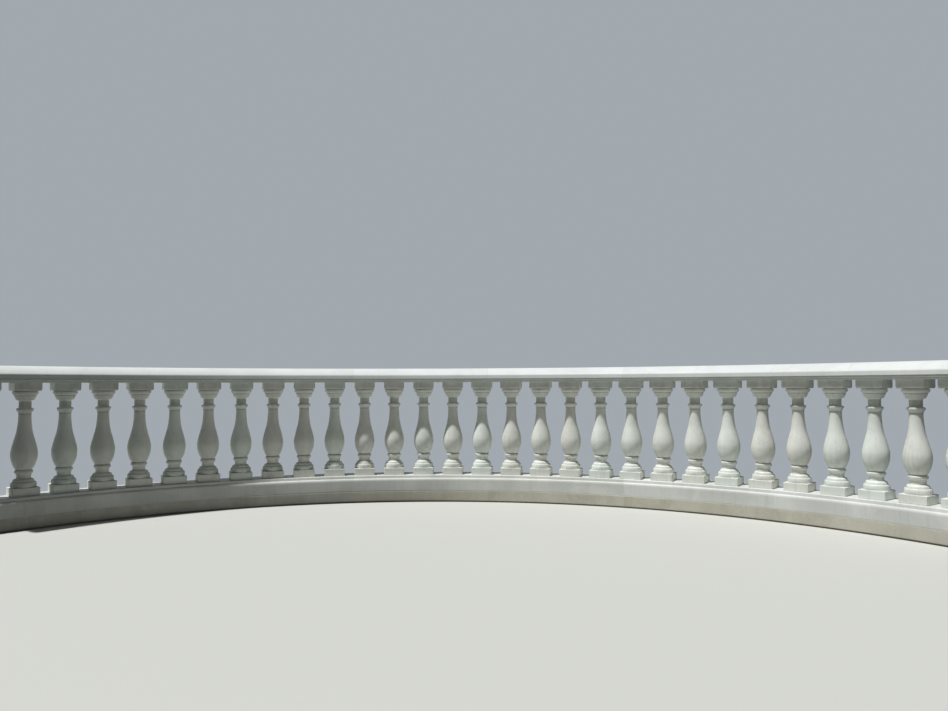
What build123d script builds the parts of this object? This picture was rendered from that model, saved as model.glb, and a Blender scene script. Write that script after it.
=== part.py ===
from build123d import *
import os
from math import cos, degrees, radians

# Curved terrace balustrade in white marble.
# From the ground up: a beige kerb, moulded base stones, turned vase balusters and a moulded handrail.
# Millimetres, +Z up. The terrace is on the hollow side, towards -Y, and +X runs to the right as seen from it.
# The origin is under the middle of the whole part, on the level that it stands on.

# Plan of the arc, measured along the line through the balusters
axis_radius = 3476.0
baluster_pitch = 226.0
balusters_in_bay = 5
bay_count = 6

# Lengths of the stones in each course, along the same line
first_stone_length = 436.0
stone_length = 1040.0
joint_width = 0.3

# Kerb course, as wide as the base that stands on it
base_width = 230.0
kerb_height = 84.0

# Base course
base_height = 122.0
base_face_height = 96.0
base_ledge = 13.0

# Balusters
block_width = 150.0
plinth_height = 58.0
abacus_height = 51.0
baluster_height = 695.0
turning_sides = 10

# Turned part of a baluster: heights of its members, from the plinth upwards
# The vase takes what they leave of the baluster's height
torus_height = 19.0
dome_height = 21.0
scotia_height = 38.0
collar_height = 25.0
ring_swell = 29.0
ring_close = 14.0
neck_height = 44.0
bell_height = 47.0
fillet_height = 10.0

# Turned part of a baluster: radii of its members
torus_radius = 72.0
scotia_radius = 42.0
collar_radius = 51.5
foot_radius = 46.0
belly_radius = 74.6
taper_radius = 44.5
shoulder_radius = 35.4
ring_radius = 47.5
neck_radius = 35.0
fillet_radius = 71.5

# Where the vase is fullest and where it starts to run slender, as shares of its height
# It is turned in a few straight passes
belly_share = 0.275
taper_share = 0.70
vase_passes = 5

# Handrail
bed_width = 170.0
bed_height = 9.0
cove_height = 16.0
cove_reach = 20.0
rail_width = 230.0
fascia_height = 27.0
crown_height = 53.0
crown_passes = 3

# Angles that the arc takes, seen from its centre
pitch_angle = degrees(baluster_pitch / axis_radius)
baluster_count = balusters_in_bay * bay_count
whole_length = baluster_pitch * baluster_count
whole_angle = pitch_angle * baluster_count

# The arc's centre lies on the terrace side, so that the part's own middle is at the origin
widest = max(base_width, rail_width)
far_reach = axis_radius + widest / 2
near_reach = (axis_radius - widest / 2) * cos(radians(whole_angle / 2))
centre_y = -(far_reach + near_reach) / 2

# Levels of the courses
base_level = kerb_height
baluster_level = base_level + base_height
rail_level = baluster_level + baluster_height

# Height that is left for the vase
foot_height = plinth_height + torus_height + dome_height + scotia_height + collar_height
ring_height = ring_swell + ring_close
head_height = ring_height + neck_height + bell_height + fillet_height + abacus_height
vase_height = baluster_height - foot_height - head_height


def stone_joints():
    """Angles of the joints between the stones, from the left end of the arc to the right one."""
    places = [0.0, first_stone_length]
    while whole_length - places[-1] > stone_length * 1.5:
        places.append(places[-1] + stone_length)
    places.append(whole_length)
    return [degrees(place / axis_radius) - whole_angle / 2 for place in places]


def swept_stone(section, start, end):
    """One stone of a course: its section turned about the arc's centre from one joint to the next."""
    arc = revolve(Rot(90, 0, 0) * section, Axis.Z, end - start)
    return Pos(0, centre_y, 0) * Rot(0, 0, 90 - end) * arc


def course_section(outline, level):
    """The section of a course from the outline of its outer face, which the inner face repeats."""
    inner = [(-offset, height) for offset, height in reversed(outline) if offset > 0]
    points = outline + inner
    return Pos(axis_radius, level) * make_face(Polyline(points, close=True))


def course(name, section):
    """Writes the stones of one course, each in its own file."""
    half_joint = degrees(joint_width / 2 / axis_radius)
    ends = stone_joints()
    last = len(ends) - 2
    for number in range(last + 1):
        start = ends[number] + (half_joint if number > 0 else 0)
        end = ends[number + 1] - (half_joint if number < last else 0)
        stone = swept_stone(section, start, end)
        export_step(stone, f"parts/{name}_{number + 1}.step")


def kerb_section():
    """A plain squared kerb."""
    half = base_width / 2
    return course_section([(half, 0), (half, kerb_height)], 0)


def base_section():
    """A base stone: an upright face, a bevelled arris and a small riser under the top."""
    half = base_width / 2
    outline = [
        (half, 0),
        (half, base_face_height),
        (half - base_ledge, base_face_height + base_ledge),
        (half - base_ledge, base_height),
    ]
    return course_section(outline, base_level)


def rail_section():
    """The handrail: a bed strip on the balusters, a cove, an upright fascia and a round crown."""
    half = rail_width / 2
    soffit = bed_height + cove_height
    nosing = soffit + fascia_height
    crest = nosing + crown_height
    crown = ThreePointArc((half, nosing), (0, crest), (-half, nosing))
    passes = [crown @ (step / (2 * crown_passes)) for step in range(1, crown_passes)]
    outline = [
        (bed_width / 2, 0),
        (bed_width / 2, bed_height),
        (bed_width / 2 + cove_reach, soffit),
        (half, soffit),
        (half, nosing),
    ]
    outline += [(point.X, point.Y) for point in passes]
    outline.append((0, crest))
    return course_section(outline, rail_level)


def vase_outline(foot):
    """Points up the side of the vase, from its narrow foot over the belly to the slender shoulder."""
    belly = foot + vase_height * belly_share
    taper = foot + vase_height * taper_share
    top = foot + vase_height
    side = Spline(
        [(foot_radius, foot), (belly_radius, belly), (taper_radius, taper), (shoulder_radius, top)],
        tangents=[(0.75, 1.0), (-0.02, 1.0)],
    )
    points = [side @ (step / vase_passes) for step in range(vase_passes + 1)]
    return [(point.X, point.Y) for point in points]


def body_outline():
    """Radius and height up the side of the turned body, from its torus foot to the fillet under the abacus."""
    torus_top = plinth_height + torus_height
    waist = torus_top + dome_height
    collar = waist + scotia_height
    shoulder = foot_height + vase_height
    ring_top = shoulder + ring_height
    neck_top = ring_top + neck_height
    bell_top = neck_top + bell_height
    return [
        (torus_radius, plinth_height),
        (torus_radius, torus_top),
        (scotia_radius, waist),
        (collar_radius, collar),
        *vase_outline(foot_height),
        (ring_radius, shoulder + ring_swell),
        (neck_radius, ring_top),
        (neck_radius, neck_top),
        (fillet_radius, bell_top),
        (fillet_radius, bell_top + fillet_height),
    ]


def turned_body():
    """The turned part of a baluster. Each pass round it is cut in flat sides, so that thirty balusters stay light."""
    rings = [
        [Vector(radius, 0, height).rotate(Axis.Z, 360 * side / turning_sides) for side in range(turning_sides)]
        for radius, height in body_outline()
    ]
    faces = [Face(Wire.make_polygon(rings[0])), Face(Wire.make_polygon(rings[-1]))]
    for lower, upper in zip(rings, rings[1:]):
        for side in range(turning_sides):
            corners = [lower[side - 1], lower[side], upper[side], upper[side - 1]]
            faces.append(Face(Wire.make_polygon(corners)))
    return Solid(Shell(faces))


def baluster():
    """One baluster: a square plinth, the turned body and a square abacus, cut from one block."""
    plinth = Pos(0, 0, plinth_height / 2) * Box(block_width, block_width, plinth_height)
    abacus_middle = baluster_height - abacus_height / 2
    abacus = Pos(0, 0, abacus_middle) * Box(block_width, block_width, abacus_height)
    return plinth + turned_body() + abacus


def balusters():
    """Writes the balusters, those of one bay in each file, every one facing the arc's centre."""
    turned = baluster()
    for bay in range(bay_count):
        copies = []
        for place in range(balusters_in_bay):
            number = bay * balusters_in_bay + place
            angle = (number + 0.5) * pitch_angle - whole_angle / 2
            spot = Pos(0, centre_y, 0) * Rot(0, 0, -angle) * Pos(0, axis_radius, baluster_level)
            copies.append(spot * turned)
        export_step(Compound(children=copies), f"parts/balusters_bay_{bay + 1}.step")


os.makedirs("parts", exist_ok=True)
course("kerb_stone", kerb_section())
course("base_stone", base_section())
course("handrail_stone", rail_section())
balusters()
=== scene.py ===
"""A curved terrace balustrade in pale marble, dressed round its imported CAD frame.

From the ground up it is a polished beige kerb, moulded base stones, turned vase balusters and a moulded
handrail. The sections are drawn in millimetres, turned about the arc's centre or about a baluster's own
axis, and placed in metres in the frame of the CAD model.
"""

from __future__ import annotations

import logging
import random
from dataclasses import dataclass, field, replace
from enum import Enum
from math import asin, atan2, cos, degrees, pi, radians, sin
from typing import NamedTuple

import bmesh
import bpy
from mathutils import Matrix, Vector
from mathutils.geometry import interpolate_bezier

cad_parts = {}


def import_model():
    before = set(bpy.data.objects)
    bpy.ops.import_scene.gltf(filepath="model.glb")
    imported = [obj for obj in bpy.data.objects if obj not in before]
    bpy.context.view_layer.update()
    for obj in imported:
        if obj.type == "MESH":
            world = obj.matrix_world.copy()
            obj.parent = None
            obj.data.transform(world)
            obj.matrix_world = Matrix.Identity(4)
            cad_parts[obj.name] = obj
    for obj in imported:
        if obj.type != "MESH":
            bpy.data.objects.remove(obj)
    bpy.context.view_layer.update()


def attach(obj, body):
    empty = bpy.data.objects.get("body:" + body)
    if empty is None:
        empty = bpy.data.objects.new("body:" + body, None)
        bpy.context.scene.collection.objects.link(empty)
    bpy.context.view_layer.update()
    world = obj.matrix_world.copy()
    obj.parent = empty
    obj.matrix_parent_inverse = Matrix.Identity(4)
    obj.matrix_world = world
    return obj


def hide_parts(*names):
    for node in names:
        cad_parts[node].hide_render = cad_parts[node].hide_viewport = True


LOG = logging.getLogger("balustrade")

Colour = tuple[float, float, float, float]
Triple = tuple[float, float, float]
Span = tuple[float, float]
Mesh = bmesh.types.BMesh
Element = bmesh.types.BMVert | bmesh.types.BMEdge | bmesh.types.BMFace
Material = bpy.types.Material
Node = bpy.types.Node
Socket = bpy.types.NodeSocket
Masks = bpy.types.NodeOutputs
Given = Socket | float | tuple[float, ...]

# Metres in a millimetre
MM = 0.001

# Length of a Bezier handle that draws a quarter of a circle, as a share of its radius
CIRCLE_HANDLE = 0.5523

# Points that lie nearer than this are one point
WELD = 0.01

# The arc's centre while a stone is cut, and the axes that things turn about: the upright one, and the one
# that turns from across towards up in the plane of a section
CENTRE = (0.0, 0.0, 0.0)
UPRIGHT = (0.0, 0.0, 1.0)
SECTION_AXIS = (0.0, -1.0, 0.0)

# Corners of a face that a section leaves behind as it turns; the section itself has more
QUAD = 4

# Levels of the beds that the courses lie on, in millimetres above the ground
KERB_BED = 0.0
BASE_BED = 84.0
BALUSTER_BED = 206.0
RAIL_BED = 901.0

# Names of the values that each point of a surface carries for its finish
# The hollow value also carries painted shade on the kerb's foot, the handrail's cove and soffit, and the
# balusters' necks and abaci
HOLLOW = "hollow"
ARRIS = "arris"
STONE = "stone"
TONE = "tone"

# The tones of the stones run between these, and are drawn from this seed
TONES = (-1.0, 1.0)
TONE_SEED = 41

# Places of the colour sockets on a Mix node
MIX_SHARE = 0
MIX_UNDER = 6
MIX_OVER = 7
MIX_RESULT = 2


class Slot(Enum):
    """The record's material slots."""

    WALL = "white_marble"
    TURNED = "baluster_marble"
    KERB = "kerb_marble"


class Lead(Enum):
    """Which way a quarter of an oval sets off."""

    OUT = "out"
    UP = "up"


class Spot(NamedTuple):
    """A place in the plane of a section. On a turned piece, across is the radius."""

    across: float
    up: float

    @property
    def place(self) -> Vector:
        """The place as a vector."""
        return Vector((self.across, 0.0, self.up))


class Flow(NamedTuple):
    """A free curve's handle at each end, counted from there, and the straight passes that cut it."""

    leave: Spot
    arrive: Spot
    passes: int


class Noise(NamedTuple):
    """How fine, how rough and how twisted a cloudy noise is."""

    detail: float
    rough: float
    twist: float = 0.0


def spin(
    mesh: Mesh,
    drawn: list[Element],
    angle: float,
    steps: int,
    axis: Triple = UPRIGHT,
    centre: Vector | Triple = CENTRE,
    merged: bool = False,
) -> dict[str, list[Element]]:
    """Turns drawn points, lines or a face about an axis, and leaves a line or a surface behind them.

    Args:
        mesh: The mesh that holds them.
        drawn: What is turned.
        angle: How far it turns.
        steps: How many straight steps make the turn.
        axis: The axis.
        centre: A place on the axis.
        merged: Whether the end of a whole turn is joined to its start.

    Returns:
        What the turn ends with.
    """
    return bmesh.ops.spin(
        mesh,
        geom=drawn,
        cent=centre,
        axis=axis,
        dvec=(0.0, 0.0, 0.0),
        angle=angle,
        steps=steps,
        use_merge=merged,
        use_duplicate=False,
    )


def move(mesh: Mesh, matrix: Matrix) -> None:
    """Moves and turns a whole mesh."""
    bmesh.ops.transform(mesh, matrix=matrix, verts=list(mesh.verts))


def cut(mesh: Mesh, place: Triple, square_to: Triple) -> None:
    """Adds points where a plane crosses a whole mesh."""
    whole = list(mesh.verts) + list(mesh.edges) + list(mesh.faces)
    bmesh.ops.bisect_plane(mesh, geom=whole, plane_co=place, plane_no=square_to, dist=WELD)


def face_outwards(mesh: Mesh) -> None:
    """Turns every face of a closed mesh outwards."""
    bmesh.ops.recalc_face_normals(mesh, faces=list(mesh.faces))


def merge(meshes: list[Mesh]) -> Mesh:
    """Puts several meshes together and frees them.

    Args:
        meshes: Meshes in the same frame.

    Returns:
        One mesh that holds them all.
    """
    joined = bmesh.new()
    for mesh in meshes:
        carried = bpy.data.meshes.new("carried")
        mesh.to_mesh(carried)
        mesh.free()
        joined.from_mesh(carried)
        bpy.data.meshes.remove(carried)
    return joined


def set_object(name: str, mesh: Mesh, finish: Material) -> bpy.types.Object:
    """Puts a finished mesh into the scene.

    Args:
        name: The object's name.
        mesh: Its mesh in metres, which is used up.
        finish: Its material.

    Returns:
        The object, at the origin.
    """
    data = bpy.data.meshes.new(name)
    mesh.to_mesh(data)
    mesh.free()
    data.materials.append(finish)
    made = bpy.data.objects.new(name, data)
    bpy.context.scene.collection.objects.link(made)
    return made


@dataclass(frozen=True)
class TerraceArc:
    """The line in plan that the courses and the balusters follow, in millimetres.

    The angles are seen from the arc's centre, from the left end to the right one.
    """

    radius: float = 3476.0
    pitch: float = 226.0
    baluster_count: int = 30
    balusters_in_bay: int = 5
    first_stone: float = 436.0
    stone: float = 1040.0
    joint: float = 0.3
    half_width: float = 115.0

    # The last stone is at most this many times as long as the others
    last_stone_share: float = 1.5

    @property
    def sweep(self) -> float:
        """The angle that the whole balustrade takes."""
        return self.pitch * self.baluster_count / self.radius

    @property
    def centre(self) -> Vector:
        """The arc's centre, on the terrace side.

        Returns:
            Its place in millimetres.
        """
        far = self.radius + self.half_width
        near = (self.radius - self.half_width) * cos(self.sweep / 2)
        return Vector((0.0, -(far + near) / 2, 0.0))

    def stones(self) -> list[Span]:
        """Shares the arc out among the stones of a course.

        Returns:
            The first and last angle of each stone, with the joints left open.
        """
        whole = self.pitch * self.baluster_count
        places = [0.0, self.first_stone]
        while whole - places[-1] > self.stone * self.last_stone_share:
            places.append(places[-1] + self.stone)
        places.append(whole)
        half_joint = self.joint / 2 / self.radius
        ends = []
        for number, (start, end) in enumerate(zip(places, places[1:])):
            first = start / self.radius - self.sweep / 2
            last = end / self.radius - self.sweep / 2
            first += half_joint if number else 0.0
            last -= half_joint if end < whole else 0.0
            ends.append((first, last))
        return ends

    def baluster_place(self, number: int, level: float) -> Matrix:
        """Where a baluster stands, turned to face the arc's centre.

        Args:
            number: The baluster's number from the left, from 0.
            level: Height of its foot in millimetres.

        Returns:
            The placement, in millimetres.
        """
        angle = (number + 0.5) * self.pitch / self.radius - self.sweep / 2
        spot = Vector((self.radius * sin(angle), self.radius * cos(angle), level))
        return Matrix.Translation(self.centre + spot) @ Matrix.Rotation(-angle, 4, "Z")


class Moulding:
    """A moulding's outline, drawn from spot to spot in the plane of its section.

    X runs across and Z runs up, in millimetres. The drawn line is turned about an axis afterwards.
    """

    def __init__(self, start: Spot) -> None:
        """Sets the outline's first point."""
        self.mesh = bmesh.new()
        self.tip = self.mesh.verts.new(start.place)

    def _reach(self, place: Vector) -> None:
        """Draws a straight line.

        Args:
            place: Where it ends.
        """
        grown = bmesh.ops.extrude_vert_indiv(self.mesh, verts=[self.tip])
        self.tip = grown["verts"][0]
        self.tip.co = place

    def straight(self, end: Spot, hold: float = 0.0) -> None:
        """Draws a flat face.

        Args:
            end: Where it ends.
            hold: How far from both ends an extra point lies, so that wear stays by the arrises.
        """
        start = self.tip.co.copy()
        run = end.place - start
        if 0 < hold < run.length / 2:
            self._reach(start + run.normalized() * hold)
            self._reach(end.place - run.normalized() * hold)
        self._reach(end.place)

    def flow(self, end: Spot, curve: Flow) -> None:
        """Draws a free curve.

        Args:
            end: Where it ends.
            curve: Its handles and passes.
        """
        start = self.tip.co.copy()
        first = start + curve.leave.place
        last = end.place + curve.arrive.place
        for place in interpolate_bezier(start, first, last, end.place, curve.passes + 1)[1:]:
            self._reach(place)

    def quarter(self, end: Spot, lead: Lead, passes: int) -> None:
        """Draws a quarter of an oval.

        Args:
            end: Where it ends.
            lead: Which way it sets off.
            passes: How many straight passes cut it.
        """
        out = (end.across - self.tip.co.x) * CIRCLE_HANDLE
        rise = (end.up - self.tip.co.z) * CIRCLE_HANDLE
        if lead is Lead.OUT:
            self.flow(end, Flow(Spot(out, 0.0), Spot(0.0, -rise), passes))
        else:
            self.flow(end, Flow(Spot(0.0, rise), Spot(-out, 0.0), passes))

    def arc(self, centre: Spot, angle: float, passes: int) -> None:
        """Draws a true arc.

        Args:
            centre: The arc's centre.
            angle: How far it turns, from across towards up.
            passes: How many straight passes cut it.
        """
        turned = spin(self.mesh, [self.tip], angle, passes, SECTION_AXIS, centre.place)
        self.tip = next(item for item in turned["geom_last"] if isinstance(item, bmesh.types.BMVert))

    def turned(self, passes: int) -> Mesh:
        """Turns the outline once round its own axis, as on a lathe.

        Args:
            passes: How many flat sides the turned body has.

        Returns:
            The closed body.
        """
        spin(self.mesh, list(self.mesh.verts) + list(self.mesh.edges), 2 * pi, passes, merged=True)
        bmesh.ops.remove_doubles(self.mesh, verts=list(self.mesh.verts), dist=WELD)
        face_outwards(self.mesh)
        return self.mesh

    def section(self, mirrored: bool = True) -> bmesh.types.BMFace:
        """Closes the outline into the face of a section.

        Args:
            mirrored: Whether the inner side repeats the outer one.

        Returns:
            The section's face.
        """
        if mirrored:
            drawn = list(self.mesh.verts) + list(self.mesh.edges)
            bmesh.ops.mirror(self.mesh, geom=drawn, matrix=Matrix.Identity(4), merge_dist=WELD, axis="X")
            bmesh.ops.remove_doubles(self.mesh, verts=list(self.mesh.verts), dist=WELD)
        filled = bmesh.ops.contextual_create(self.mesh, geom=list(self.mesh.edges))
        return filled["faces"][0]


@dataclass(frozen=True)
class Relief:
    """How a surface's hollows and arrises are read from its mesh, for dirt and wear to follow."""

    flat_bend: float = radians(9.0)
    full_bend: float = radians(55.0)
    crease: float = radians(32.0)

    def _share(self, bend: float) -> float:
        """How strong a bend is, from 0 on a flat or gently curved face to 1 at a sharp corner."""
        return min(1.0, max(0.0, (bend - self.flat_bend) / (self.full_bend - self.flat_bend)))

    def mark(self, mesh: Mesh) -> None:
        """Gives each point its hollow and arris values.

        Args:
            mesh: A mesh whose faces point outwards.
        """
        hollow = mesh.verts.layers.float.new(HOLLOW)
        arris = mesh.verts.layers.float.new(ARRIS)
        for vert in mesh.verts:
            bends = [edge.calc_face_angle_signed(0.0) for edge in vert.link_edges]
            vert[hollow] = self._share(-min(bends))
            vert[arris] = self._share(max(bends))

    def shade(self, mesh: Mesh) -> None:
        """Shades the faces smooth, with a crisp edge wherever they meet at an angle.

        Args:
            mesh: The mesh to shade.
        """
        for edge in mesh.edges:
            edge.smooth = edge.calc_face_angle(0.0) < self.crease
        for face in mesh.faces:
            face.smooth = True


@dataclass
class Mason:
    """Turns finished meshes into pieces of the object."""

    relief: Relief = field(default_factory=Relief)
    draws: random.Random = field(default_factory=lambda: random.Random(TONE_SEED))
    made: int = 0

    def set_piece(
        self,
        name: str,
        mesh: Mesh,
        finish: Material,
        slot: Slot | None = None,
        node: str | None = None,
    ) -> None:
        """Makes one piece of a mesh that is already in place, in millimetres.

        Args:
            name: The piece's name.
            mesh: Its mesh, which is used up.
            finish: Its material.
            slot: The record's slot that the finish belongs to; not used.
            node: The CAD node that it stands for.
        """
        self.made += 1
        stone = mesh.verts.layers.float.new(STONE)
        tone = mesh.verts.layers.float.new(TONE)
        shade = self.draws.uniform(*TONES)
        for vert in mesh.verts:
            vert[stone] = float(self.made)
            vert[tone] = shade
        self.relief.shade(mesh)
        bmesh.ops.scale(mesh, vec=(MM, MM, MM), verts=list(mesh.verts))
        piece = set_object(name, mesh, finish)
        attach(piece, "root")
        if node is not None:
            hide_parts(node)
        LOG.info("%s: %d points, %d faces", name, len(piece.data.vertices), len(piece.data.polygons))


@dataclass
class Course:
    """A course of curved stones that share one section.

    Sizes are in millimetres, measured from the course's own bed.
    """

    arc: TerraceArc
    mason: Mason
    finish: Material
    slot: Slot
    name: str
    node: str
    level: float
    step: float = radians(1.0)
    edge: float = 0.8
    hold: float = 7.0
    arris_passes: int = 3

    def outline(self) -> Moulding:
        """The outline of the outer face, from the middle of the bed to the middle of the top."""
        raise NotImplementedError

    def stone(self, start: float, end: float) -> Mesh:
        """Cuts one stone.

        Args:
            start: Angle of its left end.
            end: Angle of its right end.

        Returns:
            The stone in its place, in millimetres.
        """
        line = self.outline()
        face = line.section()
        mesh = line.mesh
        radius = self.arc.radius
        edge = self.edge / radius
        body = end - start - 2 * edge
        move(mesh, Matrix.Translation((radius, 0.0, self.level)))
        move(mesh, Matrix.Rotation(pi / 2 - end + edge, 4, "Z"))
        spin(mesh, [face], body, round(body / self.step))
        for near in (start + edge + self.hold / radius, end - edge - self.hold / radius):
            cut(mesh, CENTRE, (cos(near), -sin(near), 0.0))
        face_outwards(mesh)
        self.mason.relief.mark(mesh)
        self._mark_shade_and_dirt(mesh)
        self._dress_ends(mesh)
        move(mesh, Matrix.Translation(self.arc.centre))
        return mesh

    def _mark_shade_and_dirt(self, mesh: Mesh) -> None:
        """Marks painted shade and dirt besides the hollows of the section."""

    def _dress_ends(self, mesh: Mesh) -> None:
        """Takes the sharp edge off both ends of a stone, and marks the dirt in a joint.

        The two ends of the whole course meet no other stone and stay clean.

        Args:
            mesh: The stone, about the arc's centre.
        """
        hollow = mesh.verts.layers.float[HOLLOW]
        arris = mesh.verts.layers.float[ARRIS]
        free = self.arc.sweep / 2 - self.hold / self.arc.radius
        ends = [face for face in mesh.faces if len(face.verts) > QUAD]
        for face in ends:
            bmesh.ops.inset_region(
                mesh,
                faces=[face],
                thickness=self.edge,
                depth=self.edge,
                use_boundary=True,
                use_even_offset=True,
            )
            middle = face.calc_center_median()
            joined = abs(atan2(middle.x, middle.y)) < free
            for vert in face.verts:
                vert[hollow] = 1.0 if joined else 0.0
                vert[arris] = 0.0

    def build(self) -> None:
        """Cuts and sets every stone of the course."""
        for number, (start, end) in enumerate(self.arc.stones(), start=1):
            mesh = self.stone(start, end)
            name = f"{self.name}_{number}"
            self.mason.set_piece(name, mesh, self.finish, self.slot, f"{self.node}_{number}")


@dataclass
class KerbCourse(Course):
    """The squared beige kerb, set back a little where it meets the paving."""

    height: float = 84.0
    foot_setback: float = 9.0
    foot_height: float = 7.0
    arris: float = 2.0

    def outline(self) -> Moulding:
        """Draws a squared face above a shallow foot.

        Returns:
            The outline.
        """
        half = self.arc.half_width
        foot = half - self.foot_setback
        line = Moulding(Spot(0.0, 0.0))
        line.straight(Spot(foot, 0.0), self.hold)
        line.straight(Spot(foot, self.foot_height))
        line.straight(Spot(half - self.arris, self.foot_height + self.arris))
        line.quarter(Spot(half, self.foot_height + 2 * self.arris), Lead.OUT, self.arris_passes)
        line.straight(Spot(half, self.height - self.arris), self.hold)
        line.quarter(Spot(half - self.arris, self.height), Lead.UP, self.arris_passes)
        line.straight(Spot(0.0, self.height), self.hold)
        return line

    def _mark_shade_and_dirt(self, mesh: Mesh) -> None:
        """Paints shade on the shallow foot: its points get the full hollow value, which darkens the recess
        under the face.

        Args:
            mesh: The stone at its own level.
        """
        hollow = mesh.verts.layers.float[HOLLOW]
        for vert in mesh.verts:
            # Painted shade: the recessed foot gets the full hollow value
            if vert.co.z < self.level + self.foot_height + 2 * self.arris:
                vert[hollow] = 1.0


@dataclass
class BaseCourse(Course):
    """The base stones: a tall face, a rounded ledge, and a low riser that carries the balusters."""

    face_height: float = 75.5
    ledge: float = 13.5
    ledge_rise: float = 20.0
    ledge_passes: int = 8
    height: float = 115.0
    arris: float = 2.0
    riser_batter: float = 2.5
    riser_arris: float = 4.5
    riser_passes: int = 4

    def outline(self) -> Moulding:
        """Draws the tall face, the rounded ledge and the riser.

        Returns:
            The outline.
        """
        half = self.arc.half_width
        riser = half - self.ledge
        crest = riser - self.riser_batter
        line = Moulding(Spot(0.0, 0.0))
        line.straight(Spot(half - self.arris, 0.0), self.hold)
        line.quarter(Spot(half, self.arris), Lead.OUT, self.arris_passes)
        line.straight(Spot(half, self.face_height), self.hold)
        line.quarter(Spot(riser, self.face_height + self.ledge_rise), Lead.UP, self.ledge_passes)
        line.straight(Spot(crest, self.height - self.riser_arris), self.arris)
        line.quarter(Spot(crest - self.riser_arris, self.height), Lead.UP, self.riser_passes)
        line.straight(Spot(0.0, self.height), self.hold)
        return line


@dataclass
class RailCourse(Course):
    """The handrail: a bed strip, a cove, an upright fascia and a round crown above it."""

    bed: Spot = Spot(85.0, 9.0)
    cove_foot: float = 83.0
    cove: Spot = Spot(106.0, 23.0)
    cove_passes: int = 8
    soffit: float = 25.0
    nosing: float = 52.0
    nosing_round: float = 5.0
    nosing_passes: int = 5
    fascia_batter: float = 1.4
    crown: float = 52.95
    crown_passes: int = 14
    arris: float = 1.2
    # Painted shade under the fascia, given as a hollow value; washed caps the hollow dirt elsewhere
    cove_painted_shade: float = 0.9
    washed: float = 0.25

    def outline(self) -> Moulding:
        """Draws from the bed strip over the cove and the soffit to the crest of the crown.

        Returns:
            The outline.
        """
        half = self.arc.half_width
        margin = 2 * self.arris
        line = Moulding(Spot(0.0, 0.0))
        line.straight(Spot(self.bed.across - self.arris, 0.0), self.hold)
        line.quarter(Spot(self.bed.across, self.arris), Lead.OUT, self.arris_passes)
        line.straight(Spot(self.bed.across, self.bed.up - self.arris), margin)
        line.quarter(Spot(self.bed.across - self.arris, self.bed.up), Lead.UP, self.arris_passes)
        line.straight(Spot(self.cove_foot, self.bed.up))
        line.quarter(self.cove, Lead.UP, self.cove_passes)
        line.straight(Spot(self.cove.across, self.soffit))
        line.straight(Spot(half - self.arris, self.soffit), margin)
        line.quarter(Spot(half, self.soffit + self.arris), Lead.OUT, self.arris_passes)
        edge = half - self.fascia_batter
        line.straight(Spot(edge, self.nosing - self.nosing_round), margin)
        radius = (edge**2 + self.crown**2) / (2 * self.crown)
        middle = self.nosing + self.crown - radius
        turn = asin(edge / radius) - self.nosing_round / radius
        reach = self.nosing_round * CIRCLE_HANDLE
        arrive = Spot(reach * cos(turn), -reach * sin(turn))
        shoulder = Spot(radius * sin(turn), middle + radius * cos(turn))
        line.flow(shoulder, Flow(Spot(0.0, reach), arrive, self.nosing_passes))
        line.arc(Spot(0.0, middle), turn, self.crown_passes)
        return line

    def _mark_shade_and_dirt(self, mesh: Mesh) -> None:
        """Paints shade on the upper part of the cove and the soffit with a high hollow value; on the rest,
        the dirt of the hollows is kept low.

        Args:
            mesh: The stone at its own level.
        """
        hollow = mesh.verts.layers.float[HOLLOW]
        low = self.level + (self.bed.up + self.cove.up) / 2
        high = self.level + self.soffit + self.arris / 2
        for vert in mesh.verts:
            # Painted shade in the cove's upper part and on the soffit
            dry = low < vert.co.z < high
            vert[hollow] = self.cove_painted_shade if dry else min(vert[hollow], self.washed)


@dataclass
class MortarJoint:
    """The bed of pale mortar that shows as a thin line between the kerb and the base stones."""

    arc: TerraceArc
    mason: Mason
    finish: Material
    level: float = BASE_BED
    half_height: float = 2.2
    face: float = 114.2
    depth: float = 6.0
    arris: float = 0.5
    arris_passes: int = 2
    step: float = radians(1.0)

    def _strip(self, side: float) -> Mesh:
        """Draws one side's strip along the whole arc.

        Args:
            side: 1 for the outer side and -1 for the terrace side.

        Returns:
            The strip in its place, in millimetres.
        """
        top = self.half_height
        line = Moulding(Spot(self.face - self.depth, -top))
        line.straight(Spot(self.face - self.arris, -top))
        line.quarter(Spot(self.face, self.arris - top), Lead.OUT, self.arris_passes)
        line.straight(Spot(self.face, top - self.arris))
        line.quarter(Spot(self.face - self.arris, top), Lead.UP, self.arris_passes)
        line.straight(Spot(self.face - self.depth, top))
        face = line.section(mirrored=False)
        mesh = line.mesh
        sweep = self.arc.sweep
        bmesh.ops.scale(mesh, vec=(side, 1.0, 1.0), verts=list(mesh.verts))
        out = Matrix.Translation((self.arc.radius, 0.0, self.level))
        move(mesh, Matrix.Rotation(pi / 2 - sweep / 2, 4, "Z") @ out)
        spin(mesh, [face], sweep, round(sweep / self.step))
        face_outwards(mesh)
        move(mesh, Matrix.Translation(self.arc.centre))
        return mesh

    def build(self) -> None:
        """Lays the strip on both sides."""
        joined = merge([self._strip(1.0), self._strip(-1.0)])
        self.mason.relief.mark(joined)
        self.mason.set_piece("joint_mortar", joined, self.finish)


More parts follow.
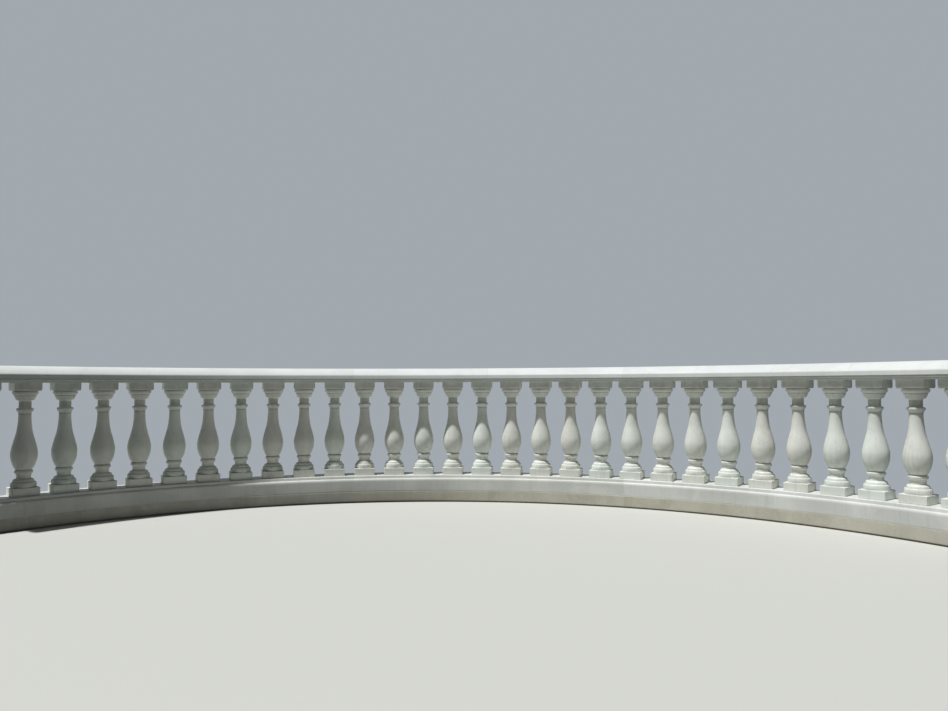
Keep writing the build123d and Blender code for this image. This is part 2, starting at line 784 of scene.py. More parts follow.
@dataclass
class Baluster:
    """A turned vase baluster between a square plinth and a square abacus, cut from one block.

    Sizes are in millimetres, and heights are measured from the baluster's own foot.
    """

    block_half: float = 75.0
    plinth_foot: float = -7.0
    plinth_top: float = 45.5
    abacus_foot: float = 644.0
    abacus_slope: float = 9.5
    abacus_draw: float = 3.4
    height: float = 695.0
    block_arris: float = 2.0
    block_passes: int = 3
    block_margin: float = 6.0
    broad_margins: float = 3.0
    sunk: float = 2.0
    passes: int = 60

    # Foot: a torus, a quirk, a dome and a scotia under the collar
    torus_seat: float = 67.5
    torus: Spot = Spot(71.8, 57.0)
    torus_top: float = 78.0
    torus_passes: int = 6
    quirk_radius: float = 61.5
    quirk_draw: float = 1.0
    quirk_height: float = 2.0
    dome_end: Spot = Spot(45.0, 99.0)
    dome_passes: int = 8
    waist_radius: float = 41.2
    waist_step: float = 2.0
    scotia_end: Spot = Spot(49.8, 134.5)
    scotia: Flow = Flow(Spot(-1.7, 10.5), Spot(-8.5, -4.0), 10)
    collar: Spot = Spot(52.0, 141.0)
    collar_end: Spot = Spot(48.0, 150.0)
    groove: Spot = Spot(45.2, 156.0)

    # Vase
    foot_radius: float = 46.0
    belly: Spot = Spot(74.6, 253.0)
    to_belly: Flow = Flow(Spot(17.0, 24.0), Spot(0.0, -38.0), 14)
    taper: Spot = Spot(49.8, 366.0)
    to_taper: Flow = Flow(Spot(0.0, 27.0), Spot(10.2, -37.0), 12)
    shoulder: Spot = Spot(35.6, 502.0)
    to_shoulder: Flow = Flow(Spot(-8.6, 34.0), Spot(0.0, -52.0), 12)

    # Ring and neck
    ring_step: float = 1.6
    ring_foot: float = 506.0
    lip: Spot = Spot(46.4, 522.5)
    to_lip: Flow = Flow(Spot(2.6, 6.5), Spot(-3.0, -5.0), 7)
    ring: Spot = Spot(47.8, 528.5)
    ring_passes: int = 4
    ring_end: Spot = Spot(44.5, 535.0)
    neck: Spot = Spot(34.8, 543.5)
    to_neck: Flow = Flow(Spot(-6.0, 1.6), Spot(0.0, -4.0), 6)
    neck_top: float = 577.5

    # Bell, in two bands parted by a quirk, under a hollow below the abacus
    cove: Spot = Spot(46.5, 586.5)
    cove_passes: int = 7
    low_band_radius: float = 50.0
    low_band: Spot = Spot(61.0, 613.0)
    to_low_band: Flow = Flow(Spot(2.2, 9.5), Spot(-1.6, -9.0), 9)
    bell_quirk: float = 2.4
    high_band: Spot = Spot(72.0, 633.0)
    to_high_band: Flow = Flow(Spot(5.6, 4.6), Spot(-0.5, -7.5), 8)
    recess: Spot = Spot(67.0, 639.0)

    # Passes that cut the small roundings
    fine_passes: int = 5

    # How much painted shade lies on the neck, in the shelter of the bell, and on the abacus, under the
    # handrail
    neck_painted_shade: float = 0.62
    abacus_painted_shade: float = 0.5

    def _block(self, low: float, high: float, slope: float = 0.0) -> Mesh:
        """Cuts one of the two square blocks, with its arrises eased.

        Args:
            low: Height of its underside.
            high: Height of its top.
            slope: How far up from its underside the faces are drawn in.

        Returns:
            The block's mesh.
        """
        mesh = bmesh.new()
        bmesh.ops.create_cube(mesh, size=1.0)
        side = self.block_half * 2
        bmesh.ops.scale(mesh, vec=(side, side, high - low), verts=list(mesh.verts))
        move(mesh, Matrix.Translation((0.0, 0.0, (high + low) / 2)))
        if slope:
            under = [vert for vert in mesh.verts if vert.co.z < high]
            cut(mesh, (0.0, 0.0, low + slope), UPRIGHT)
            share = 1 - self.abacus_draw / self.block_half
            bmesh.ops.scale(mesh, vec=(share, share, 1.0), verts=under)
        bmesh.ops.bevel(
            mesh,
            geom=list(mesh.edges),
            offset=self.block_arris,
            segments=self.block_passes,
            profile=0.5,
            affect="EDGES",
            material=-1,
        )
        room = self.block_margin * self.broad_margins
        broad = [face for face in mesh.faces if min(edge.calc_length() for edge in face.edges) > room]
        bmesh.ops.inset_individual(mesh, faces=broad, thickness=self.block_margin, use_even_offset=True)
        face_outwards(mesh)
        return mesh

    def _draw_foot(self, line: Moulding) -> None:
        """Draws the torus, the dome, the scotia and the collar.

        Args:
            line: The outline, which stands on the plinth.
        """
        dome_foot = Spot(self.quirk_radius - self.quirk_draw, self.torus_top + self.quirk_height)
        line.straight(Spot(self.torus_seat, self.plinth_top - self.sunk))
        line.straight(Spot(self.torus_seat, self.plinth_top))
        line.quarter(self.torus, Lead.OUT, self.fine_passes)
        line.quarter(Spot(self.torus_seat - self.sunk, self.torus_top), Lead.UP, self.torus_passes)
        line.straight(Spot(self.quirk_radius, self.torus_top))
        line.straight(dome_foot)
        line.quarter(self.dome_end, Lead.UP, self.dome_passes)
        line.straight(Spot(self.waist_radius, self.dome_end.up))
        line.straight(Spot(self.waist_radius, self.dome_end.up + self.waist_step))
        line.flow(self.scotia_end, self.scotia)
        line.quarter(self.collar, Lead.OUT, self.fine_passes)
        line.quarter(self.collar_end, Lead.UP, self.fine_passes)
        line.straight(Spot(self.groove.across, self.collar_end.up))
        line.straight(self.groove)

    def _draw_vase(self, line: Moulding) -> None:
        """Draws the vase from its tight foot to the slender shoulder, the flared ring and the neck.

        Args:
            line: The outline, drawn up to the groove over the collar.
        """
        seat = self.shoulder.across + self.ring_step
        line.straight(Spot(self.foot_radius, self.groove.up))
        line.flow(self.belly, self.to_belly)
        line.flow(self.taper, self.to_taper)
        line.flow(self.shoulder, self.to_shoulder)
        line.straight(Spot(seat, self.shoulder.up))
        line.straight(Spot(seat, self.ring_foot))
        line.flow(self.lip, self.to_lip)
        line.quarter(self.ring, Lead.OUT, self.ring_passes)
        line.quarter(self.ring_end, Lead.UP, self.fine_passes)
        line.flow(self.neck, self.to_neck)
        line.straight(Spot(self.neck.across, self.neck_top), self.block_margin)

    def _draw_bell(self, line: Moulding) -> None:
        """Draws the cove and the two bands of the bell, and the hollow above them.

        Args:
            line: The outline, drawn up to the top of the neck.
        """
        ceiling = self.abacus_foot + self.sunk
        line.quarter(self.cove, Lead.UP, self.cove_passes)
        line.straight(Spot(self.low_band_radius, self.cove.up))
        line.flow(self.low_band, self.to_low_band)
        across, up = line.tip.co.x, line.tip.co.z
        line.straight(Spot(across - self.bell_quirk, up))
        line.straight(Spot(across - self.bell_quirk, up + self.bell_quirk))
        line.straight(Spot(across, up + self.bell_quirk))
        line.flow(self.high_band, self.to_high_band)
        line.straight(Spot(self.high_band.across, self.recess.up), self.block_arris)
        line.straight(self.recess)
        line.straight(Spot(self.recess.across, ceiling))
        line.straight(Spot(0.0, ceiling))

    def mesh(self) -> Mesh:
        """Turns the body and joins it with its two blocks.

        Returns:
            The whole baluster, on its own axis.
        """
        line = Moulding(Spot(0.0, self.plinth_top - self.sunk))
        self._draw_foot(line)
        self._draw_vase(line)
        self._draw_bell(line)
        plinth = self._block(self.plinth_foot, self.plinth_top)
        abacus = self._block(self.abacus_foot, self.height, self.abacus_slope)
        return merge([line.turned(self.passes), plinth, abacus])

    def paint_shade(self, mesh: Mesh) -> None:
        """Paints shade on the neck and the abacus through their hollow values.

        Args:
            mesh: The whole baluster, on its own axis.
        """
        hollow = mesh.verts.layers.float[HOLLOW]
        for vert in mesh.verts:
            # Painted shade: the neck under the bell and the abacus under the handrail
            if self.neck.up <= vert.co.z <= self.neck_top:
                vert[hollow] = max(vert[hollow], self.neck_painted_shade)
            elif vert.co.z >= self.abacus_foot:
                vert[hollow] = max(vert[hollow], self.abacus_painted_shade)


@dataclass
class BalusterRow:
    """The thirty balusters, each standing for its place in the CAD node of its bay."""

    arc: TerraceArc
    mason: Mason
    finish: Material
    pattern: Baluster = field(default_factory=Baluster)
    level: float = BALUSTER_BED

    def build(self) -> None:
        """Cuts one baluster and sets a copy at every place."""
        master = self.pattern.mesh()
        self.mason.relief.mark(master)
        # Paints shade on the neck and the abacus
        self.pattern.paint_shade(master)
        for number in range(self.arc.baluster_count):
            copy = master.copy()
            move(copy, self.arc.baluster_place(number, self.level))
            bay = number // self.arc.balusters_in_bay + 1
            name = f"baluster_{number + 1:02d}"
            self.mason.set_piece(name, copy, self.finish, Slot.TURNED, f"balusters_bay_{bay}")
        master.free()


class NodeSheet:
    """A node tree that is filled in step by step."""

    def __init__(self, tree: bpy.types.NodeTree) -> None:
        """Starts on an empty tree."""
        self.tree = tree
        tree.nodes.clear()

    def add(self, kind: str, given: dict[str | int, Given] | None = None, **options: object) -> Node:
        """Adds a node.

        Args:
            kind: The node's type.
            given: What its inputs get, by name or place: another node's output, or a value.
            **options: The node's own options.

        Returns:
            The node.
        """
        node = self.tree.nodes.new(kind)
        for name, value in options.items():
            setattr(node, name, value)
        for name, value in (given or {}).items():
            self.give(node, name, value)
        return node

    def give(self, node: Node, name: str | int, value: Given) -> None:
        """Gives one input a value, or joins it to another node's output.

        Args:
            node: The node that has the input.
            name: The input's name or place.
            value: What it gets.
        """
        if isinstance(value, bpy.types.NodeSocket):
            self.tree.links.new(value, node.inputs[name])
        else:
            node.inputs[name].default_value = value

    def place(self) -> Socket:
        """The place of a point on its object."""
        return self.add("ShaderNodeTexCoord").outputs["Object"]

    def read(self, name: str) -> Socket:
        """A value that the points of a surface carry."""
        return self.add("ShaderNodeAttribute", attribute_name=name).outputs["Fac"]

    def reckon(self, operation: str, first: Given, second: Given = 0.0, clamp: bool = False) -> Socket:
        """The result of one piece of arithmetic."""
        node = self.add("ShaderNodeMath", {0: first, 1: second}, operation=operation, use_clamp=clamp)
        return node.outputs[0]

    def times(self, first: Given, second: Given) -> Socket:
        """One value times another."""
        return self.reckon("MULTIPLY", first, second)

    def blend(self, share: Given, under: Given, over: Given, way: str = "MIX") -> Socket:
        """One colour laid over another."""
        given = {MIX_SHARE: share, MIX_UNDER: under, MIX_OVER: over}
        return self.add("ShaderNodeMix", given, data_type="RGBA", blend_type=way).outputs[MIX_RESULT]

    def lay(self, under: Given, over: Colour, mask: Socket, strength: float, way: str = "MIX") -> Socket:
        """One colour laid over another where a mask shows it, at a strength from 0 to 1."""
        return self.blend(self.times(mask, strength), under, over, way)

    def grey(self, value: Socket) -> Socket:
        """A colour or place that is the same value three times."""
        return self.add("ShaderNodeCombineXYZ", {0: value, 1: value, 2: value}).outputs[0]

    def ramp(self, value: Given, low: float, high: float, start: float = 0.0, end: float = 1.0) -> Socket:
        """A value eased from one range into another.

        Args:
            value: The value.
            low: Where its range begins.
            high: Where its range ends.
            start: What it becomes at the beginning.
            end: What it becomes at the end.

        Returns:
            The eased value.
        """
        given = {"Value": value, "From Min": low, "From Max": high, "To Min": start, "To Max": end}
        node = self.add("ShaderNodeMapRange", given, interpolation_type="SMOOTHSTEP")
        return node.outputs["Result"]

    def noise(self, place: Given, scale: Given, kind: Noise) -> Socket:
        """A cloudy noise from 0 to 1.

        Args:
            place: Where it is read.
            scale: How many clouds there are to the metre.
            kind: How fine, rough and twisted they are.

        Returns:
            The noise.
        """
        given = {"Vector": place, "Scale": scale, "Detail": kind.detail}
        given |= {"Roughness": kind.rough, "Distortion": kind.twist}
        return self.add("ShaderNodeTexNoise", given).outputs[0]

    def vector(self, operation: str, first: Given, second: Given) -> Socket:
        """The result of arithmetic on two places."""
        node = self.add("ShaderNodeVectorMath", {0: first, 1: second}, operation=operation)
        return node.outputs["Value" if operation == "DISTANCE" else 0]

    def bump(self, strength: float, height: Socket) -> Socket:
        """The normal of a surface that a height in millimetres raises."""
        return self.add("ShaderNodeBump", {"Strength": strength, "Distance": MM, "Height": height}).outputs[0]

    def show(self, surface: Node, kind: str = "ShaderNodeOutputMaterial") -> None:
        """Puts out the finished surface."""
        self.add(kind, {"Surface": surface.outputs[0]})


def new_material(name: str) -> tuple[Material, NodeSheet]:
    """Starts a material.

    Args:
        name: The material's name.

    Returns:
        The material and its empty node tree.
    """
    made = bpy.data.materials.new(name)
    made.use_nodes = True
    return made, NodeSheet(made.node_tree)


class Effect:
    """A shader node group that several materials share."""

    def __init__(self, name: str, inputs: dict[str, str], outputs: list[str]) -> None:
        """Makes the empty group with its named sockets.

        Args:
            name: The group's name.
            inputs: Each input's name and kind of socket.
            outputs: The names of its masks.
        """
        self.tree = bpy.data.node_groups.new(name, "ShaderNodeTree")
        for label, kind in inputs.items():
            self.tree.interface.new_socket(name=label, in_out="INPUT", socket_type=kind)
        for label in outputs:
            self.tree.interface.new_socket(name=label, in_out="OUTPUT", socket_type="NodeSocketFloat")
        self.sheet = NodeSheet(self.tree)
        self.entry = self.sheet.add("NodeGroupInput")
        self.exit = self.sheet.add("NodeGroupOutput")

    def place(self, sheet: NodeSheet, given: dict[str | int, Given]) -> Masks:
        """The masks of the group in a material, with that material's own values."""
        return sheet.add("ShaderNodeGroup", given, node_tree=self.tree).outputs


class MarbleFigure(Effect):
    """The marble's own figure: soft clouds, thin broken veins and a fine crystal grain."""

    # How far the figure moves and turns from one stone to the next
    stone_shift = (3.17, 1.93, 2.41)
    stone_turn = 1.9
    turn_axis = (0.36, 0.48, 0.8)

    clouds = Noise(5.0, 0.55, 0.7)
    cloud_range = (0.36, 0.66)

    # A vein runs where its noise passes the middle value, and only where a patch lets it show
    vein_path = Noise(6.0, 0.58, 1.4)
    vein_middle = 0.5
    vein_sharpness = 1.6
    patches = Noise(2.0, 0.5)
    patch_range = (0.42, 0.62)

    grain = Noise(2.0, 0.5)
    grain_scale = 420.0

    def __init__(self) -> None:
        """Builds the group."""
        kinds = {
            "Place": "NodeSocketVector",
            "Stone": "NodeSocketFloat",
            "Cloud Scale": "NodeSocketFloat",
            "Vein Scale": "NodeSocketFloat",
            "Vein Width": "NodeSocketFloat",
        }
        super().__init__("marble_figure", kinds, ["Cloud", "Vein", "Grain"])
        sheet = self.sheet
        entry = self.entry.outputs
        shift = sheet.vector("MULTIPLY", sheet.grey(entry["Stone"]), self.stone_shift)
        moved = sheet.vector("ADD", entry["Place"], shift)
        angle = sheet.times(entry["Stone"], self.stone_turn)
        given = {"Vector": moved, "Angle": angle, "Axis": self.turn_axis}
        turned = sheet.add("ShaderNodeVectorRotate", given, rotation_type="AXIS_ANGLE").outputs[0]
        cloud = sheet.noise(turned, entry["Cloud Scale"], self.clouds)
        sheet.give(self.exit, "Cloud", sheet.ramp(cloud, *self.cloud_range))
        path = sheet.noise(turned, entry["Vein Scale"], self.vein_path)
        away = sheet.reckon("ABSOLUTE", sheet.reckon("SUBTRACT", path, self.vein_middle))
        line = sheet.reckon("SUBTRACT", 1.0, sheet.reckon("DIVIDE", away, entry["Vein Width"]), clamp=True)
        patch = sheet.ramp(sheet.noise(turned, entry["Cloud Scale"], self.patches), *self.patch_range)
        vein = sheet.times(sheet.reckon("POWER", line, self.vein_sharpness), patch)
        sheet.give(self.exit, "Vein", vein)
        sheet.give(self.exit, "Grain", sheet.noise(turned, self.grain_scale, self.grain))


class Weathering(Effect):
    """What weather and handling leave: dirt in hollows, worn arrises, faint runs of rain and small specks;
    the dirt mask also carries the painted shade that some pieces give as hollow values.
    """

    patches = Noise(4.0, 0.6)
    patch_scale = 14.0
    patch_middle = 0.5
    dirt_and_shade_range = (0.25, 0.95)
    wear_range = (0.2, 0.9)

    # Runs are narrow across and long up and down
    runs = Noise(3.0, 0.55, 0.2)
    run_stretch = (55.0, 55.0, 3.4)
    run_scale = 1.0
    run_range = (0.5, 0.72)

    specks = Noise(2.0, 0.6)
    speck_scale = 260.0
    speck_range = (0.66, 0.74)

    def __init__(self) -> None:
        """Builds the group."""
        kinds = {
            "Place": "NodeSocketVector",
            "Hollow": "NodeSocketFloat",
            "Arris": "NodeSocketFloat",
            "Patchiness": "NodeSocketFloat",
        }
        super().__init__("weathering", kinds, ["Dirt And Shade", "Wear", "Runs", "Specks"])
        sheet = self.sheet
        entry = self.entry.outputs
        patches = sheet.noise(entry["Place"], self.patch_scale, self.patches)
        swing = sheet.times(sheet.reckon("SUBTRACT", patches, self.patch_middle), entry["Patchiness"])
        # This mask darkens real dirt in the hollows and the painted shade that the hollow values carry
        dirt = sheet.ramp(sheet.reckon("ADD", entry["Hollow"], swing), *self.dirt_and_shade_range)
        sheet.give(self.exit, "Dirt And Shade", dirt)
        wear = sheet.ramp(sheet.reckon("ADD", entry["Arris"], swing), *self.wear_range)
        sheet.give(self.exit, "Wear", wear)
        drawn_out = sheet.vector("MULTIPLY", entry["Place"], self.run_stretch)
        runs = sheet.noise(drawn_out, self.run_scale, self.runs)
        sheet.give(self.exit, "Runs", sheet.times(sheet.ramp(runs, *self.run_range), patches))
        specks = sheet.noise(entry["Place"], self.speck_scale, self.specks)
        sheet.give(self.exit, "Specks", sheet.ramp(specks, *self.speck_range))


class PolishedSkin(Effect):
    """The polished skin: slow waves left by the polisher's hand, haze in the gloss, and fine pits."""

    waves = Noise(3.0, 0.5)
    pits = Noise(2.0, 0.6)
    pit_scale = 900.0
    pit_range = (0.62, 0.78)
    haze = Noise(5.0, 0.65, 0.5)
    haze_scale = 9.0
    haze_range = (0.35, 0.7)

    def __init__(self) -> None:
        """Builds the group."""
        kinds = {"Place": "NodeSocketVector", "Wave Scale": "NodeSocketFloat", "Pit Depth": "NodeSocketFloat"}
        super().__init__("polished_skin", kinds, ["Height", "Haze"])
        sheet = self.sheet
        entry = self.entry.outputs
        waves = sheet.noise(entry["Place"], entry["Wave Scale"], self.waves)
        pits = sheet.ramp(sheet.noise(entry["Place"], self.pit_scale, self.pits), *self.pit_range)
        height = sheet.reckon("SUBTRACT", waves, sheet.times(pits, entry["Pit Depth"]))
        sheet.give(self.exit, "Height", height)
        haze = sheet.noise(entry["Place"], self.haze_scale, self.haze)
        sheet.give(self.exit, "Haze", sheet.ramp(haze, *self.haze_range))


@dataclass(frozen=True)
class Effects:
    """The shader groups that the finishes draw on."""

    figure: MarbleFigure = field(default_factory=MarbleFigure)
    weather: Weathering = field(default_factory=Weathering)
    skin: PolishedSkin = field(default_factory=PolishedSkin)


@dataclass(frozen=True)
class MarbleFinish:
    """How one kind of marble looks once it is cut, polished and weathered.

    Scales are in turns per metre, and shares run from 0 to 1.
    """

    name: str
    ground: Colour
    cloud: Colour
    vein: Colour
    # The dirt colour is also laid as painted shade wherever the hollow values carry it
    dirt: Colour
    worn: Colour
    warm: Colour
    cloud_scale: float
    vein_scale: float
    vein_width: float
    cloud_share: float
    vein_share: float
    dirt_and_shade_share: float
    wear_share: float
    run_share: float
    tone_swing: float
    roughness: float
    haze_swing: float
    wave_scale: float
    bump: float
    gloss: float = 0.5
    patchiness: float = 0.8
    pit_depth: float = 0.5

    # How far the crystal grain dims or lights the stone, how rough dirt makes it, and how strongly specks
    # show beside the dirt in the hollows
    grain_range: Span = (0.3, 0.7)
    grain_light: Span = (0.97, 1.03)
    dirt_roughness: float = 0.35
    speck_strength: float = 0.5

    def _colour(self, sheet: NodeSheet, figure: Masks, weather: Masks) -> Socket:
        """Lays the colours over each other, from the ground to the dirt and the painted shade.

        Args:
            sheet: The material's node tree.
            figure: The masks of the marble's own figure.
            weather: The masks of what weather leaves.

        Returns:
            The colour.
        """
        specks = self.dirt_and_shade_share * self.speck_strength
        warmth = sheet.ramp(sheet.read(TONE), *TONES)
        grain = sheet.ramp(figure["Grain"], *self.grain_range, *self.grain_light)
        colour = sheet.lay(self.ground, self.cloud, figure["Cloud"], self.cloud_share)
        colour = sheet.lay(colour, self.warm, warmth, self.tone_swing, "MULTIPLY")
        colour = sheet.lay(colour, self.vein, figure["Vein"], self.vein_share)
        colour = sheet.blend(1.0, colour, sheet.grey(grain), "MULTIPLY")
        colour = sheet.lay(colour, self.dirt, weather["Runs"], self.run_share)
        colour = sheet.lay(colour, self.dirt, weather["Specks"], specks)
        colour = sheet.lay(colour, self.worn, weather["Wear"], self.wear_share)
        # Dirt in the hollows, and painted shade where the hollow values carry it
        return sheet.lay(colour, self.dirt, weather["Dirt And Shade"], self.dirt_and_shade_share)

    def material(self, effects: Effects) -> Material:
        """Builds the material.

        Args:
            effects: The shader groups that it shares with the others.

        Returns:
            The material.
        """
        made, sheet = new_material(self.name)
        place = sheet.place()
        figure = effects.figure.place(sheet, {
            "Place": place,
            "Stone": sheet.read(STONE),
            "Cloud Scale": self.cloud_scale,
            "Vein Scale": self.vein_scale,
            "Vein Width": self.vein_width,
        })
        weather = effects.weather.place(sheet, {
            "Place": place,
            "Hollow": sheet.read(HOLLOW),
            "Arris": sheet.read(ARRIS),
            "Patchiness": self.patchiness,
        })
        skin = effects.skin.place(sheet, {
            "Place": place,
            "Wave Scale": self.wave_scale,
            "Pit Depth": self.pit_depth,
        })
        dull = sheet.times(skin["Haze"], self.haze_swing)
        dull = sheet.reckon("ADD", dull, sheet.times(weather["Dirt And Shade"], self.dirt_roughness))
        sheet.show(sheet.add("ShaderNodeBsdfPrincipled", {
            "Base Color": self._colour(sheet, figure, weather),
            "Roughness": sheet.reckon("ADD", dull, self.roughness, clamp=True),
            "Specular IOR Level": self.gloss,
            "Normal": sheet.bump(self.bump, skin["Height"]),
        }))
        return made


@dataclass(frozen=True)
class MortarFinish:
    """Pale lime mortar, struck flush and a little sandy."""

    name: str = "pale_mortar"
    ground: Colour = (0.8, 0.78, 0.7, 1.0)
    sand: Colour = (0.6, 0.57, 0.48, 1.0)
    patches: Noise = Noise(4.0, 0.6)
    patch_scale: float = 30.0
    patch_range: Span = (0.4, 0.7)
    patch_share: float = 0.6
    grains: Noise = Noise(2.0, 0.6)
    grain_scale: float = 700.0
    grain_range: Span = (0.55, 0.75)
    roughness: float = 0.85
    bump: float = 0.5

    def material(self) -> Material:
        """Builds the material.

        Returns:
            The material.
        """
        made, sheet = new_material(self.name)
        place = sheet.place()
        patches = sheet.ramp(sheet.noise(place, self.patch_scale, self.patches), *self.patch_range)
        grains = sheet.noise(place, self.grain_scale, self.grains)
        colour = sheet.lay(self.ground, self.sand, patches, self.patch_share)
        sheet.show(sheet.add("ShaderNodeBsdfPrincipled", {
            "Base Color": sheet.blend(sheet.ramp(grains, *self.grain_range), colour, self.sand),
            "Roughness": self.roughness,
            "Normal": sheet.bump(self.bump, grains),
        }))
        return made


WALL_MARBLE = MarbleFinish(
    name="polished_white_marble",
    ground=(0.77, 0.78, 0.755, 1.0),
    cloud=(0.62, 0.64, 0.61, 1.0),
    vein=(0.5, 0.52, 0.505, 1.0),
    dirt=(0.22, 0.205, 0.165, 1.0),
    worn=(0.88, 0.885, 0.865, 1.0),
    warm=(0.95, 0.93, 0.86, 1.0),
    cloud_scale=3.2,
    vein_scale=2.4,
    vein_width=0.022,
    cloud_share=0.75,
    vein_share=0.28,
    dirt_and_shade_share=0.6,
    wear_share=0.45,
    run_share=0.16,
    tone_swing=0.25,
    roughness=0.4,
    haze_swing=0.16,
    wave_scale=16.0,
    bump=0.25,
    gloss=0.3,
)

# The handrail is of the same marble, rubbed matt by hands and rain; its paler, bluer colour is painted light,
# a lit copy of the wall marble that stands in for the sunlight on its crown
RAIL_MARBLE = replace(
    WALL_MARBLE,
    name="rubbed_white_marble",
    ground=(0.815, 0.845, 0.84, 1.0),
    cloud=(0.715, 0.745, 0.735, 1.0),
    cloud_share=0.6,
    vein_share=0.22,
    run_share=0.1,
    roughness=0.42,
    gloss=0.2,
)

BALUSTER_MARBLE = MarbleFinish(
    name="turned_white_marble",
    ground=(0.83, 0.88, 0.825, 1.0),
    cloud=(0.715, 0.76, 0.705, 1.0),
    vein=(0.52, 0.53, 0.5, 1.0),
    dirt=(0.22, 0.21, 0.17, 1.0),
    worn=(0.86, 0.88, 0.855, 1.0),
    warm=(1.0, 0.945, 0.94, 1.0),
    cloud_scale=6.0,
    vein_scale=5.0,
    vein_width=0.02,
    cloud_share=0.55,
    vein_share=0.4,
    dirt_and_shade_share=0.5,
    wear_share=0.4,
    run_share=0.24,
    tone_swing=0.9,
    roughness=0.4,
    haze_swing=0.16,
    wave_scale=30.0,
    bump=0.3,
    gloss=0.35,
)

KERB_MARBLE = MarbleFinish(
    name="polished_beige_marble",
    ground=(0.61, 0.6, 0.525, 1.0),
    cloud=(0.5, 0.485, 0.41, 1.0),
    vein=(0.72, 0.71, 0.64, 1.0),
    dirt=(0.16, 0.11, 0.085, 1.0),
    worn=(0.7, 0.67, 0.58, 1.0),
    warm=(1.0, 0.94, 0.84, 1.0),
    cloud_scale=5.0,
    vein_scale=6.0,
    vein_width=0.03,
    cloud_share=0.8,
    vein_share=0.35,
    dirt_and_shade_share=0.7,
    wear_share=0.3,
    run_share=0.1,
    tone_swing=0.45,
    roughness=0.2,
    haze_swing=0.14,
    wave_scale=14.0,
    bump=0.2,
)


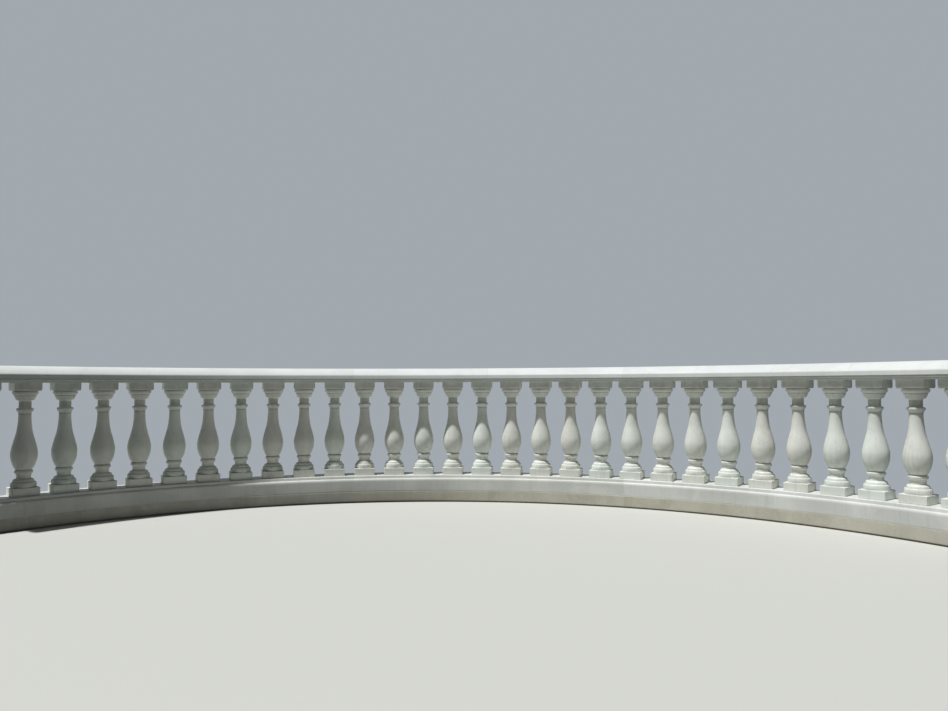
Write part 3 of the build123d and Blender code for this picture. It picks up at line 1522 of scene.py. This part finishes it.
@dataclass(frozen=True)
class Studio:
    """The plain pale floor, the soft light and the camera.

    The lamp stands high, to the left and a little towards the terrace. Away from the balustrade the floor
    fades into the backdrop. What the floor throws back on the stone is set apart from the colour that the
    camera sees: it is dim on the near left part, round the camera, past the right end and in a strip along
    the left half of the kerb, which leaves both ends of the row and the foot of the kerb in softer light.
    """

    floor_half: float = 60.0
    floor_colour: Colour = (0.61, 0.615, 0.575, 1.0)
    floor_bounce: Colour = (0.442, 0.454, 0.412, 1.0)
    floor_dim: Colour = (0.05, 0.055, 0.055, 1.0)
    floor_roughness: float = 0.7

    # Where the floor grows dim, in metres from where it starts to where it is full
    dim_side: Span = (-0.1, -0.9)
    dim_depth: Span = (-0.55, -1.25)
    dim_near: Span = (-2.2, -2.9)
    dim_end: Span = (2.4, 3.1)
    foot_side: Span = (0.4, -0.6)
    foot_near: Span = (3.18, 3.26)
    foot_back: Span = (3.4, 3.5)

    # The floor seen from the camera fades between these distances from the arc's centre
    floor_centre: Triple = (0.0, -2.738, 0.0)
    floor_fade: Span = (3.5, 5.5)
    backdrop: Colour = (0.36, 0.395, 0.43, 1.0)

    ambient: Colour = (0.93, 0.97, 1.0, 1.0)
    ambient_strength: float = 0.046
    lamp_strength: float = 3.56
    lamp_softness: float = radians(2.0)
    lamp_bearing: float = radians(59.3)
    lamp_height: float = radians(69.0)

    camera_place: Triple = (0.4771, -4.821, 0.8747)
    camera_turn: float = radians(4.374)
    camera_tilt: float = radians(92.375)
    camera_roll: float = radians(-0.192)
    lens: float = 27.407
    sensor: float = 36.0
    nearest_seen: float = 0.05
    farthest_seen: float = 500.0

    def floor(self) -> None:
        """Lays the floor."""
        made, sheet = new_material("plain_floor")
        seen = sheet.add("ShaderNodeLightPath").outputs["Is Camera Ray"]
        place = sheet.place()
        away = sheet.vector("DISTANCE", place, self.floor_centre)
        bounce = sheet.blend(self._dim(sheet, place, away), self.floor_bounce, self.floor_dim)
        surface = sheet.add("ShaderNodeBsdfPrincipled", {
            "Base Color": sheet.blend(seen, bounce, self.floor_colour),
            "Roughness": self.floor_roughness,
        })
        fade = sheet.times(sheet.ramp(away, *self.floor_fade), seen)
        haze = sheet.add("ShaderNodeEmission", {"Color": self.backdrop, "Strength": 1.0})
        sheet.show(sheet.add("ShaderNodeMixShader", {0: fade, 1: surface.outputs[0], 2: haze.outputs[0]}))
        mesh = bmesh.new()
        bmesh.ops.create_grid(mesh, x_segments=1, y_segments=1, size=self.floor_half)
        floor = set_object("floor", mesh, made)

    def _dim(self, sheet: NodeSheet, place: Socket, away: Socket) -> Socket:
        """How dim the floor is at a place, for the light that it throws back.

        Args:
            sheet: The floor's node tree.
            place: The place on the floor.
            away: Its distance from the arc's centre.

        Returns:
            A share, 1 where it is dimmest.
        """
        parts = sheet.add("ShaderNodeSeparateXYZ", {0: place}).outputs
        left = sheet.ramp(parts["X"], *self.dim_side)
        deep = sheet.ramp(parts["Y"], *self.dim_depth)
        near = sheet.ramp(parts["Y"], *self.dim_near)
        end = sheet.ramp(parts["X"], *self.dim_end)
        strip_near = sheet.ramp(away, *self.foot_near)
        strip_back = sheet.ramp(away, *self.foot_back, 1.0, 0.0)
        foot = sheet.times(sheet.times(strip_near, strip_back), sheet.ramp(parts["X"], *self.foot_side))
        broad = sheet.reckon("MAXIMUM", sheet.times(left, deep), foot)
        return sheet.reckon("MAXIMUM", broad, sheet.reckon("MAXIMUM", near, end))

    def light(self) -> None:
        """Sets the lamp and the soft light all round, with a plain backdrop behind."""
        lamp = bpy.data.lights.new("key_lamp", "SUN")
        lamp.energy = self.lamp_strength
        lamp.angle = self.lamp_softness
        key = bpy.data.objects.new("key_lamp", lamp)
        level = cos(self.lamp_height)
        across = -sin(self.lamp_bearing) * level
        back = -cos(self.lamp_bearing) * level
        towards = Vector((across, back, sin(self.lamp_height)))
        key.rotation_euler = towards.to_track_quat("Z", "Y").to_euler()
        bpy.context.scene.collection.objects.link(key)
        world = bpy.data.worlds.new("studio")
        world.use_nodes = True
        bpy.context.scene.world = world
        sheet = NodeSheet(world.node_tree)
        rays = sheet.add("ShaderNodeLightPath").outputs
        seen = sheet.reckon("ADD", rays["Is Camera Ray"], rays["Is Transmission Ray"], clamp=True)
        seen = sheet.reckon("ADD", seen, rays["Is Glossy Ray"], clamp=True)
        soft = sheet.add("ShaderNodeBackground", {"Color": self.ambient, "Strength": self.ambient_strength})
        plain = sheet.add("ShaderNodeBackground", {"Color": self.backdrop, "Strength": 1.0})
        both = sheet.add("ShaderNodeMixShader", {0: seen, 1: soft.outputs[0], 2: plain.outputs[0]})
        sheet.show(both, "ShaderNodeOutputWorld")

    def camera(self) -> None:
        """Sets the camera at the photograph's place and angle."""
        data = bpy.data.cameras.new("camera")
        data.sensor_fit = "HORIZONTAL"
        data.sensor_width = self.sensor
        data.lens = self.lens
        data.clip_start = self.nearest_seen
        data.clip_end = self.farthest_seen
        camera = bpy.data.objects.new("camera", data)
        turn = Matrix.Rotation(self.camera_turn, 4, "Z")
        tilt = Matrix.Rotation(self.camera_tilt, 4, "X")
        roll = Matrix.Rotation(self.camera_roll, 4, "Z")
        camera.matrix_world = Matrix.Translation(self.camera_place) @ turn @ tilt @ roll
        bpy.context.scene.collection.objects.link(camera)
        bpy.context.scene.camera = camera

    def build(self) -> None:
        """Sets up the floor, the light and the camera."""
        self.floor()
        self.light()
        self.camera()
        bpy.context.scene.view_settings.view_transform = "Standard"


def main() -> None:
    """Builds the balustrade round the CAD frame, from the kerb up."""
    logging.basicConfig(level=logging.INFO, format="%(name)s: %(message)s")
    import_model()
    arc = TerraceArc()
    mason = Mason()
    effects = Effects()
    wall = WALL_MARBLE.material(effects)
    turned = BALUSTER_MARBLE.material(effects)
    rail = RAIL_MARBLE.material(effects)
    kerb = KERB_MARBLE.material(effects)
    KerbCourse(arc, mason, kerb, Slot.KERB, "kerb_dressed", "kerb_stone", KERB_BED).build()
    MortarJoint(arc, mason, MortarFinish().material()).build()
    BaseCourse(arc, mason, wall, Slot.WALL, "base_dressed", "base_stone", BASE_BED).build()
    BalusterRow(arc, mason, turned).build()
    RailCourse(arc, mason, rail, Slot.WALL, "rail_dressed", "handrail_stone", RAIL_BED).build()
    Studio().build()
    LOG.info("arc of %.2f degrees with %d pieces", degrees(arc.sweep), mason.made)


if __name__ == "__main__":
    main()
